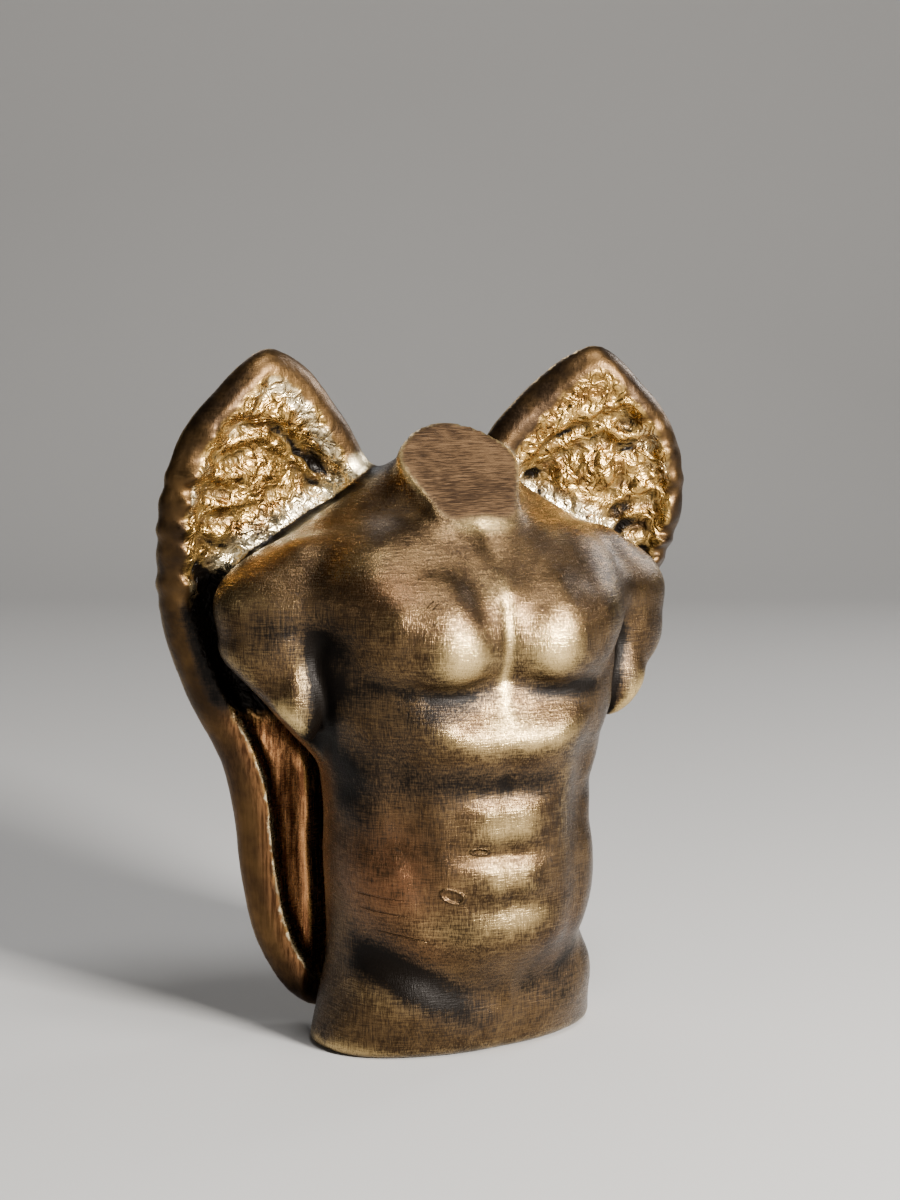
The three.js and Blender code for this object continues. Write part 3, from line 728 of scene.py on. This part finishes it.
def carve_figure():
    """The mesh of the whole cast, with the paint's guides on its points."""
    points, quads = surface_nets(part_touching_cells(lattice_values()))
    bare = pulled(points)
    normal = slope_at(bare)
    normal /= np.linalg.norm(normal, axis=1)[:, None]
    on_wing = wing_share(bare)
    inset = -outline_distance(np.abs(bare[:, 0]).astype(np.float32), bare[:, 2].astype(np.float32))
    marked = bare + normal * surface_marks(bare, on_wing, normal, inset)[:, None]
    marked[:, 2] = np.maximum(marked[:, 2], 0)
    mesh = bpy.data.meshes.new("winged_torso_cast")
    mesh.from_pydata((marked * MM).tolist(), [], quads.tolist())
    mesh.polygons.foreach_set("use_smooth", [True] * len(mesh.polygons))
    guides = paint_guides(bare, marked, quads, normal, on_wing, inset)
    for name in GUIDES:
        layer = mesh.attributes.new(name, "FLOAT", "POINT")
        layer.data.foreach_set("value", guides[name].astype(np.float32))
    return mesh


# The paint: antique gold bronze over black patina, with painted shade and painted highlights

class Nodes:
    """Short hands for building a node tree."""

    def __init__(self, tree):
        self.tree = tree

    def add(self, kind, **settings):
        node = self.tree.nodes.new(kind)
        for name, value in settings.items():
            setattr(node, name, value)
        return node

    def link(self, source, target):
        self.tree.links.new(source, target)

    def put(self, socket, value):
        if isinstance(value, bpy.types.NodeSocket):
            self.link(value, socket)
        else:
            socket.default_value = value

    def math(self, operation, a, b=0.0, clamp=False):
        node = self.add("ShaderNodeMath", operation=operation, use_clamp=clamp)
        self.put(node.inputs[0], a)
        self.put(node.inputs[1], b)
        return node.outputs[0]

    def plus(self, *terms):
        total = terms[0]
        for term in terms[1:]:
            total = self.math("ADD", total, term)
        return total

    def times(self, *factors):
        product = factors[0]
        for factor in factors[1:]:
            product = self.math("MULTIPLY", product, factor)
        return product

    def minus(self, a, b):
        return self.math("SUBTRACT", a, b)

    def larger(self, a, b):
        return self.math("MAXIMUM", a, b)

    def without(self, value, share=1.0):
        """1 where the value is 0, and 1 less the share where it is 1."""
        return self.minus(1.0, self.times(value, share))

    def centred(self, noise, spread):
        """Noise moved to lie round 0, with the given spread."""
        return self.times(self.minus(noise, 0.5), spread)

    def band(self, value, middle, half, core):
        """1 within core of the middle, and 0 beyond half."""
        return self.ramp(self.math("ABSOLUTE", self.minus(value, middle)), half, core)

    def ramp(self, value, low, high, start=0.0, end=1.0):
        node = self.add("ShaderNodeMapRange", interpolation_type="SMOOTHSTEP")
        for socket, v in zip(node.inputs, (value, low, high, start, end)):
            self.put(socket, v)
        return node.outputs[0]

    def mix(self, share, a, b):
        node = self.add("ShaderNodeMix", data_type="RGBA")
        self.put(node.inputs[0], share)
        self.put(node.inputs[6], a)
        self.put(node.inputs[7], b)
        return node.outputs[2]

    def attribute(self, name):
        return self.add("ShaderNodeAttribute", attribute_name=name).outputs["Fac"]

    def place(self, scale):
        """Object coordinates in grains per metre along each axis."""
        node = self.add("ShaderNodeVectorMath", operation="MULTIPLY")
        self.link(self.add("ShaderNodeTexCoord").outputs["Object"], node.inputs[0])
        node.inputs[1].default_value = scale
        return node.outputs[0]

    def noise(self, grain, detail=3.0, roughness=0.55, stretch=(1, 1, 1), distortion=0.0):
        """Noise with grains of about the given size in millimetres."""
        node = self.add("ShaderNodeTexNoise")
        self.link(self.place(tuple(1000 / grain / s for s in stretch)), node.inputs["Vector"])
        node.inputs["Scale"].default_value = 1.0
        node.inputs["Detail"].default_value = detail
        node.inputs["Roughness"].default_value = roughness
        node.inputs["Distortion"].default_value = distortion
        return node.outputs["Fac"]

    def bump(self, height, distance, strength=1.0, normal=None):
        node = self.add("ShaderNodeBump")
        self.put(node.inputs["Strength"], strength)
        node.inputs["Distance"].default_value = distance
        self.link(height, node.inputs["Height"])
        if normal is not None:
            self.link(normal, node.inputs["Normal"])
        return node.outputs[0]


BLACK_PATINA_AND_SHADE = (0.0035, 0.0022, 0.0013, 1)
DARK_BRONZE = (0.030, 0.0175, 0.009, 1)
BRONZE = (0.125, 0.075, 0.033, 1)
RED_BRONZE = (0.17, 0.070, 0.032, 1)
# Rubbed gold, which also paints the highlights on the torso
RUBBED_GOLD_AND_HIGHLIGHT = (0.78, 0.56, 0.24, 1)
DEEP_GOLD = (0.13, 0.066, 0.018, 1)
BRIGHT_GOLD = (0.50, 0.31, 0.09, 1)
RIM_BROWN = (0.10, 0.055, 0.020, 1)
COPPER = (0.56, 0.27, 0.11, 1)
DARK_COPPER = (0.12, 0.045, 0.018, 1)
# Pale gold of the painted highlights on the wings
PAINTED_HIGHLIGHT_GOLD = (0.95, 0.80, 0.50, 1)
DARK_CUT = (0.022, 0.012, 0.006, 1)
PALE_CUT = (0.10, 0.058, 0.028, 1)

# How far inside a wing's outline its brown rim ends, in millimetres
RIM_EDGE = 7.6

# Small marks on the front of the belly and chest: middle, half length, half width, tilt, kind
MARKS = [
    (-6.9, 55.0, 2.3, 0.85, -4, "ring"),
    (-13.7, 44.0, 2.8, 1.6, -22, "ring"),
    (11.0, 68.5, 2.6, 0.25, 2, "ridge"),
    (-21.0, 118.0, 1.5, 0.22, 40, "ridge"),
    (-20.0, 117.4, 1.2, 0.20, 40, "ridge"),
    (-30.0, 43.5, 6.0, 0.22, -6, "groove"),
    (-29.0, 39.5, 6.5, 0.22, -8, "groove"),
    (-23.0, 33.0, 6.0, 0.25, -12, "groove"),
]


def belly_marks(n):
    """Height of the casting rings, scratches and lines on the front, and 0 elsewhere."""
    parts = n.add("ShaderNodeSeparateXYZ")
    n.link(n.place((1 / MM,) * 3), parts.inputs[0])
    front = n.ramp(parts.outputs["Y"], -12, -18)
    height = 0.0
    for x, z, length, width, tilt, kind in MARKS:
        c, s = math.cos(math.radians(tilt)), math.sin(math.radians(tilt))
        u = n.minus(parts.outputs["X"], x)
        v = n.minus(parts.outputs["Z"], z)
        along = n.plus(n.times(u, c / length), n.times(v, s / length))
        side = n.plus(n.times(u, -s / width), n.times(v, c / width))
        far = n.math("SQRT", n.plus(n.times(along, along), n.times(side, side)))
        if kind == "ring":
            mark = n.minus(n.band(far, 1.0, 0.3, 0.0), n.ramp(far, 0.9, 0.5, 0.0, 0.7))
        else:
            mark = n.times(n.ramp(far, 1.2, 0.2), 0.8 if kind == "ridge" else -0.6)
        height = n.plus(mark, height)
    return n.times(height, front)


def paint_grain(n):
    """The noises that the paint is broken up with."""
    # brush marks run up and down and across, like the threads of linen
    upright = n.noise(0.34, 3, 0.6, (1, 1, 11))
    across = n.noise(0.34, 3, 0.6, (11, 11, 1))
    return SimpleNamespace(
        weave=n.plus(n.times(upright, 0.55), n.times(across, 0.45)),
        cloud=n.noise(17, 4, 0.62),
        blotch=n.noise(5.5, 5, 0.66),
        speckle=n.noise(0.55, 3, 0.7),
    )


def torso_paint(n, at, grain):
    """Dark bronze brushed with bronze, and the share of gold rubbed on where it stands out, with painted
    highlights where the gold patches lie.
    """
    brushed = n.plus(n.times(grain.cloud, 0.45), n.times(grain.weave, 1.2), n.times(grain.blotch, 0.35))
    colour = n.mix(n.ramp(brushed, 0.82, 1.18), DARK_BRONZE, BRONZE)
    reddish = n.math("MULTIPLY", at.red, n.ramp(brushed, 0.8, 1.15), clamp=True)
    colour = n.mix(reddish, colour, RED_BRONZE)
    proud_and_highlit = n.plus(
        n.times(at.gold, 0.6),
        n.ramp(at.broad_relief, 1.0, 3.2, 0.0, 0.4),
        n.ramp(at.fine_relief, 0.10, 0.6, 0.0, 0.35),
        n.times(n.minus(brushed, 1.0), 0.9),
    )
    # gold rubbed on the raised forms, and painted highlights where the gold patches lie
    rubbed_and_highlit = n.ramp(proud_and_highlit, 0.05, 1.15, 0.0, 0.92)
    return n.mix(rubbed_and_highlit, colour, RUBBED_GOLD_AND_HIGHLIGHT), rubbed_and_highlit


def wing_highlights(n, at, grain):
    """Painted highlights on the ragged ridge inside the rim and on the fillet above the shoulder, where the
    light catches them.
    """
    ragged = n.plus(at.inset, n.centred(n.noise(3.5, 3), 4.0))
    ridge = n.times(n.band(ragged, RIM_EDGE, 1.2, 0.4), n.ramp(grain.cloud, 0.36, 0.46, 0.2, 1.0))
    ridge = n.times(ridge, at.low_wing)
    inner_rim_highlight = n.times(n.band(ragged, RIM_EDGE + 1.4, 2.6, 0.8), n.ramp(grain.cloud, 0.48, 0.62, 0.0, 0.55))
    inner_rim_highlight = n.times(inner_rim_highlight, at.wing_front, n.without(n.larger(at.low_wing, at.beside_arm)))
    fillet_highlight = n.times(at.fillet, n.ramp(grain.blotch, 0.34, 0.50))
    return n.larger(n.larger(ridge, inner_rim_highlight), fillet_highlight)


def wing_paint(n, at, grain, rim, painted_highlight, torso):
    """Foil-like gold inside a brown rim, copper below the arms, painted highlights in pale gold, and the
    torso's paint behind.
    """
    streaks = n.noise(0.9, 4, 0.65, (1, 1, 16))
    channel = n.mix(n.ramp(streaks, 0.38, 0.62), DARK_COPPER, COPPER)
    colour = n.mix(n.ramp(grain.blotch, 0.36, 0.66), DEEP_GOLD, BRIGHT_GOLD)
    colour = n.mix(at.low_wing, colour, channel)
    colour = n.mix(n.ramp(at.fine_relief, 0.15, 0.6, 0.0, 0.6), colour, BRIGHT_GOLD)
    brown = n.mix(n.ramp(grain.cloud, 0.35, 0.65), DARK_BRONZE, RIM_BROWN)
    brown = n.mix(n.times(at.low_wing, n.ramp(at.inset, 2.5, 7.0, 0.05, 0.55)), brown, channel)
    colour = n.mix(rim, colour, brown)
    # the painted highlights in pale gold
    colour = n.mix(painted_highlight, colour, PAINTED_HIGHLIGHT_GOLD)
    return n.mix(n.times(n.without(at.wing_front), 0.8), colour, torso)


def patina_and_shade_share(n, at, grain, rim, painted_highlight):
    """Black patina in the creases and hollows, deepened by painted shade in the wider hollows, broad
    recesses, dark patches and beside the arms, broken up by the brush marks.
    """
    crease = n.ramp(at.fine_hollow, 0.05, 0.6, 0.0, 0.5)
    crease = n.plus(crease, n.ramp(at.fine_relief, -0.05, -0.6, 0.0, 0.6))
    # patina in the creases, with painted shade deepening the wider hollows and broad recesses
    depth = n.plus(
        n.times(crease, n.plus(n.times(at.wing, 0.65), 0.35)),
        n.ramp(at.wide_hollow, 0.10, 0.9, 0.0, 1.2),
        n.ramp(at.broad_relief, 0.2, -2.5, 0.0, 0.7),
        at.dark,
        n.times(at.wing, 0.12),
        n.times(at.gold, -0.8),
    )
    depth = n.times(depth, n.without(at.wing, 0.42), n.without(rim, 0.6))
    # painted highlights clear the patina, and the arm's shadow is painted in full beside it
    depth = n.plus(depth, n.times(painted_highlight, -2.5), at.beside_arm, n.times(at.low_wing, -0.6))
    uneven = n.plus(depth, n.centred(grain.blotch, 1.0), n.centred(grain.weave, -1.5))
    speckled = n.times(n.ramp(grain.speckle, 0.56, 0.70, 0.0, 0.55), n.without(at.wing))
    return n.math("ADD", n.ramp(uneven, 0.08, 1.1), speckled, clamp=True)


def surface_bumps(n, at, grain, rim):
    """Casting marks, brush marks and grain, and crumpled foil on the fronts of the wings."""
    marked = n.bump(belly_marks(n), 0.5 * MM)
    streaks = n.bump(grain.weave, 0.3 * MM, n.minus(0.7, n.times(at.wing, 0.5)), marked)
    smooth = n.larger(n.times(rim, 0.9), at.low_wing)
    wrinkled = n.math("SUBTRACT", at.wing_front, smooth, clamp=True)
    crumple = n.bump(n.noise(3.2, 2, 0.5, distortion=1.0), 1.6 * MM, wrinkled, streaks)
    return n.bump(grain.speckle, 0.1 * MM, 0.4, crumple)


def antique_gold():
    material = bpy.data.materials.new("antique_gold_plaster")
    material.use_nodes = True
    material.node_tree.nodes.clear()
    n = Nodes(material.node_tree)
    at = SimpleNamespace(**{name: n.attribute(name) for name in GUIDES})
    grain = paint_grain(n)
    wander = n.centred(grain.blotch, 5.0)
    rim = n.times(n.ramp(n.plus(at.inset, wander), RIM_EDGE + 0.2, RIM_EDGE - 2.0), at.wing_front)
    painted_highlight = wing_highlights(n, at, grain)
    patina_and_shade = patina_and_shade_share(n, at, grain, rim, painted_highlight)
    torso, rubbed_and_highlit = torso_paint(n, at, grain)
    colour = n.mix(at.wing, torso, wing_paint(n, at, grain, rim, painted_highlight, torso))
    colour = n.mix(patina_and_shade, colour, BLACK_PATINA_AND_SHADE)
    strokes = n.plus(n.noise(0.3, 4, 0.65, (14, 1, 1)), n.times(grain.cloud, 0.5))
    colour = n.mix(at.cut, colour, n.mix(n.ramp(strokes, 0.62, 0.90), DARK_CUT, PALE_CUT))
    rough = n.plus(
        n.ramp(grain.weave, 0.38, 0.62, 0.36, 0.23),
        n.times(at.wing, -0.03),
        n.times(rubbed_and_highlit, n.without(at.wing), -0.10),
        n.times(n.larger(patina_and_shade, rim), 0.13),
        n.times(at.cut, 0.25),
    )
    shader = n.add("ShaderNodeBsdfPrincipled")
    n.link(colour, shader.inputs["Base Color"])
    n.link(n.times(n.without(patina_and_shade, 0.6), n.without(at.cut, 0.35), 0.96), shader.inputs["Metallic"])
    n.link(n.minus(0.5, n.times(n.larger(patina_and_shade, at.cut), 0.38)), shader.inputs["Specular IOR Level"])
    n.link(rough, shader.inputs["Roughness"])
    n.link(surface_bumps(n, at, grain, rim), shader.inputs["Normal"])
    n.link(shader.outputs[0], n.add("ShaderNodeOutputMaterial").inputs[0])
    return material


def plain_material(name, colour, roughness):
    material = bpy.data.materials.new(name)
    material.use_nodes = True
    shader = material.node_tree.nodes["Principled BSDF"]
    shader.inputs["Base Color"].default_value = colour
    shader.inputs["Roughness"].default_value = roughness
    return material


# Floor with a curved backdrop, light and camera

FLOOR_HALF_WIDTH = 3.0
FLOOR_FRONT = -2.0
FLOOR_COLOUR = (0.36, 0.352, 0.344, 1)
BACKDROP_DISTANCE = 1.6
BACKDROP_RADIUS = 0.6
BACKDROP_HEIGHT = 2.4
BACKDROP_STEPS = 12


def add_floor():
    start = BACKDROP_DISTANCE - BACKDROP_RADIUS
    profile = [(FLOOR_FRONT, 0.0), (start, 0.0)]
    for step in range(1, BACKDROP_STEPS + 1):
        a = math.pi / 2 * step / BACKDROP_STEPS
        rise = BACKDROP_RADIUS - BACKDROP_RADIUS * math.cos(a)
        profile.append((start + BACKDROP_RADIUS * math.sin(a), rise))
    profile.append((BACKDROP_DISTANCE, BACKDROP_HEIGHT))
    mesh = bpy.data.meshes.new("floor")
    verts = [(x, y, z) for y, z in profile for x in (-FLOOR_HALF_WIDTH, FLOOR_HALF_WIDTH)]
    faces = [(2 * i, 2 * i + 1, 2 * i + 3, 2 * i + 2) for i in range(len(profile) - 1)]
    mesh.from_pydata(verts, [], faces)
    mesh.polygons.foreach_set("use_smooth", [True] * len(faces))
    mesh.materials.append(plain_material("floor", FLOOR_COLOUR, 0.8))
    floor = bpy.data.objects.new("floor", mesh)
    floor.rotation_euler = (0, 0, CAMERA_AZIMUTH)
    bpy.context.scene.collection.objects.link(floor)


# Lights: name, azimuth from the figure's front, elevation, distance, size, watts, colour
WHITE = (1, 1, 1)
WARM_WHITE = (1.0, 0.97, 0.92)
LIGHTS = [
    ("key", 20, 19, 0.9, 0.18, 42, WARM_WHITE),
    ("above", 8, 66, 1.0, 0.30, 9, WHITE),
    ("fill", -75, 12, 1.2, 0.4, 1.2, WHITE),
    ("side", 110, 25, 1.1, 0.25, 4, WHITE),
    ("back", 175, 40, 1.3, 0.5, 3, WHITE),
]
LIGHTS_AIM = Vector((0, 0, 0.09))
WORLD_COLOUR = (0.82, 0.80, 0.78, 1)
WORLD_STRENGTH = 0.07


def add_light(name, azimuth, elevation, distance, size, power, colour):
    light = bpy.data.lights.new(name, "AREA")
    light.size = size
    light.energy = power
    light.color = colour
    lamp = bpy.data.objects.new(name, light)
    a, e = math.radians(azimuth), math.radians(elevation)
    back = Vector((math.sin(a) * math.cos(e), -math.cos(a) * math.cos(e), math.sin(e)))
    lamp.location = LIGHTS_AIM + back * distance
    lamp.rotation_mode = "QUATERNION"
    lamp.rotation_quaternion = (-back).to_track_quat("-Z", "Y")
    bpy.context.scene.collection.objects.link(lamp)


def add_lights():
    for light in LIGHTS:
        add_light(*light)
    world = bpy.data.worlds.new("studio")
    world.use_nodes = True
    background = world.node_tree.nodes["Background"]
    background.inputs["Color"].default_value = WORLD_COLOUR
    background.inputs["Strength"].default_value = WORLD_STRENGTH
    bpy.context.scene.world = world


def add_camera():
    camera = bpy.data.cameras.new("camera")
    camera.sensor_fit = "AUTO"
    camera.sensor_width = SENSOR
    camera.lens = SENSOR * FOCAL_PIXELS / PHOTO_HEIGHT
    viewer = bpy.data.objects.new("camera", camera)
    ahead = Vector((-math.sin(CAMERA_AZIMUTH), math.cos(CAMERA_AZIMUTH), 0))
    viewer.location = Vector((0, 0, CAMERA_HEIGHT)) - ahead * CAMERA_DISTANCE
    look = ahead * math.cos(CAMERA_PITCH) - Vector((0, 0, 1)) * math.sin(CAMERA_PITCH)
    viewer.rotation_mode = "QUATERNION"
    viewer.rotation_quaternion = look.to_track_quat("-Z", "Y")
    bpy.context.scene.collection.objects.link(viewer)
    bpy.context.scene.camera = viewer


add_camera()
add_lights()
add_floor()

cast = bpy.data.objects.new("winged_torso_cast", carve_figure())
cast.data.materials.append(antique_gold())
bpy.context.scene.collection.objects.link(cast)
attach(cast, "root")
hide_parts("winged_torso")
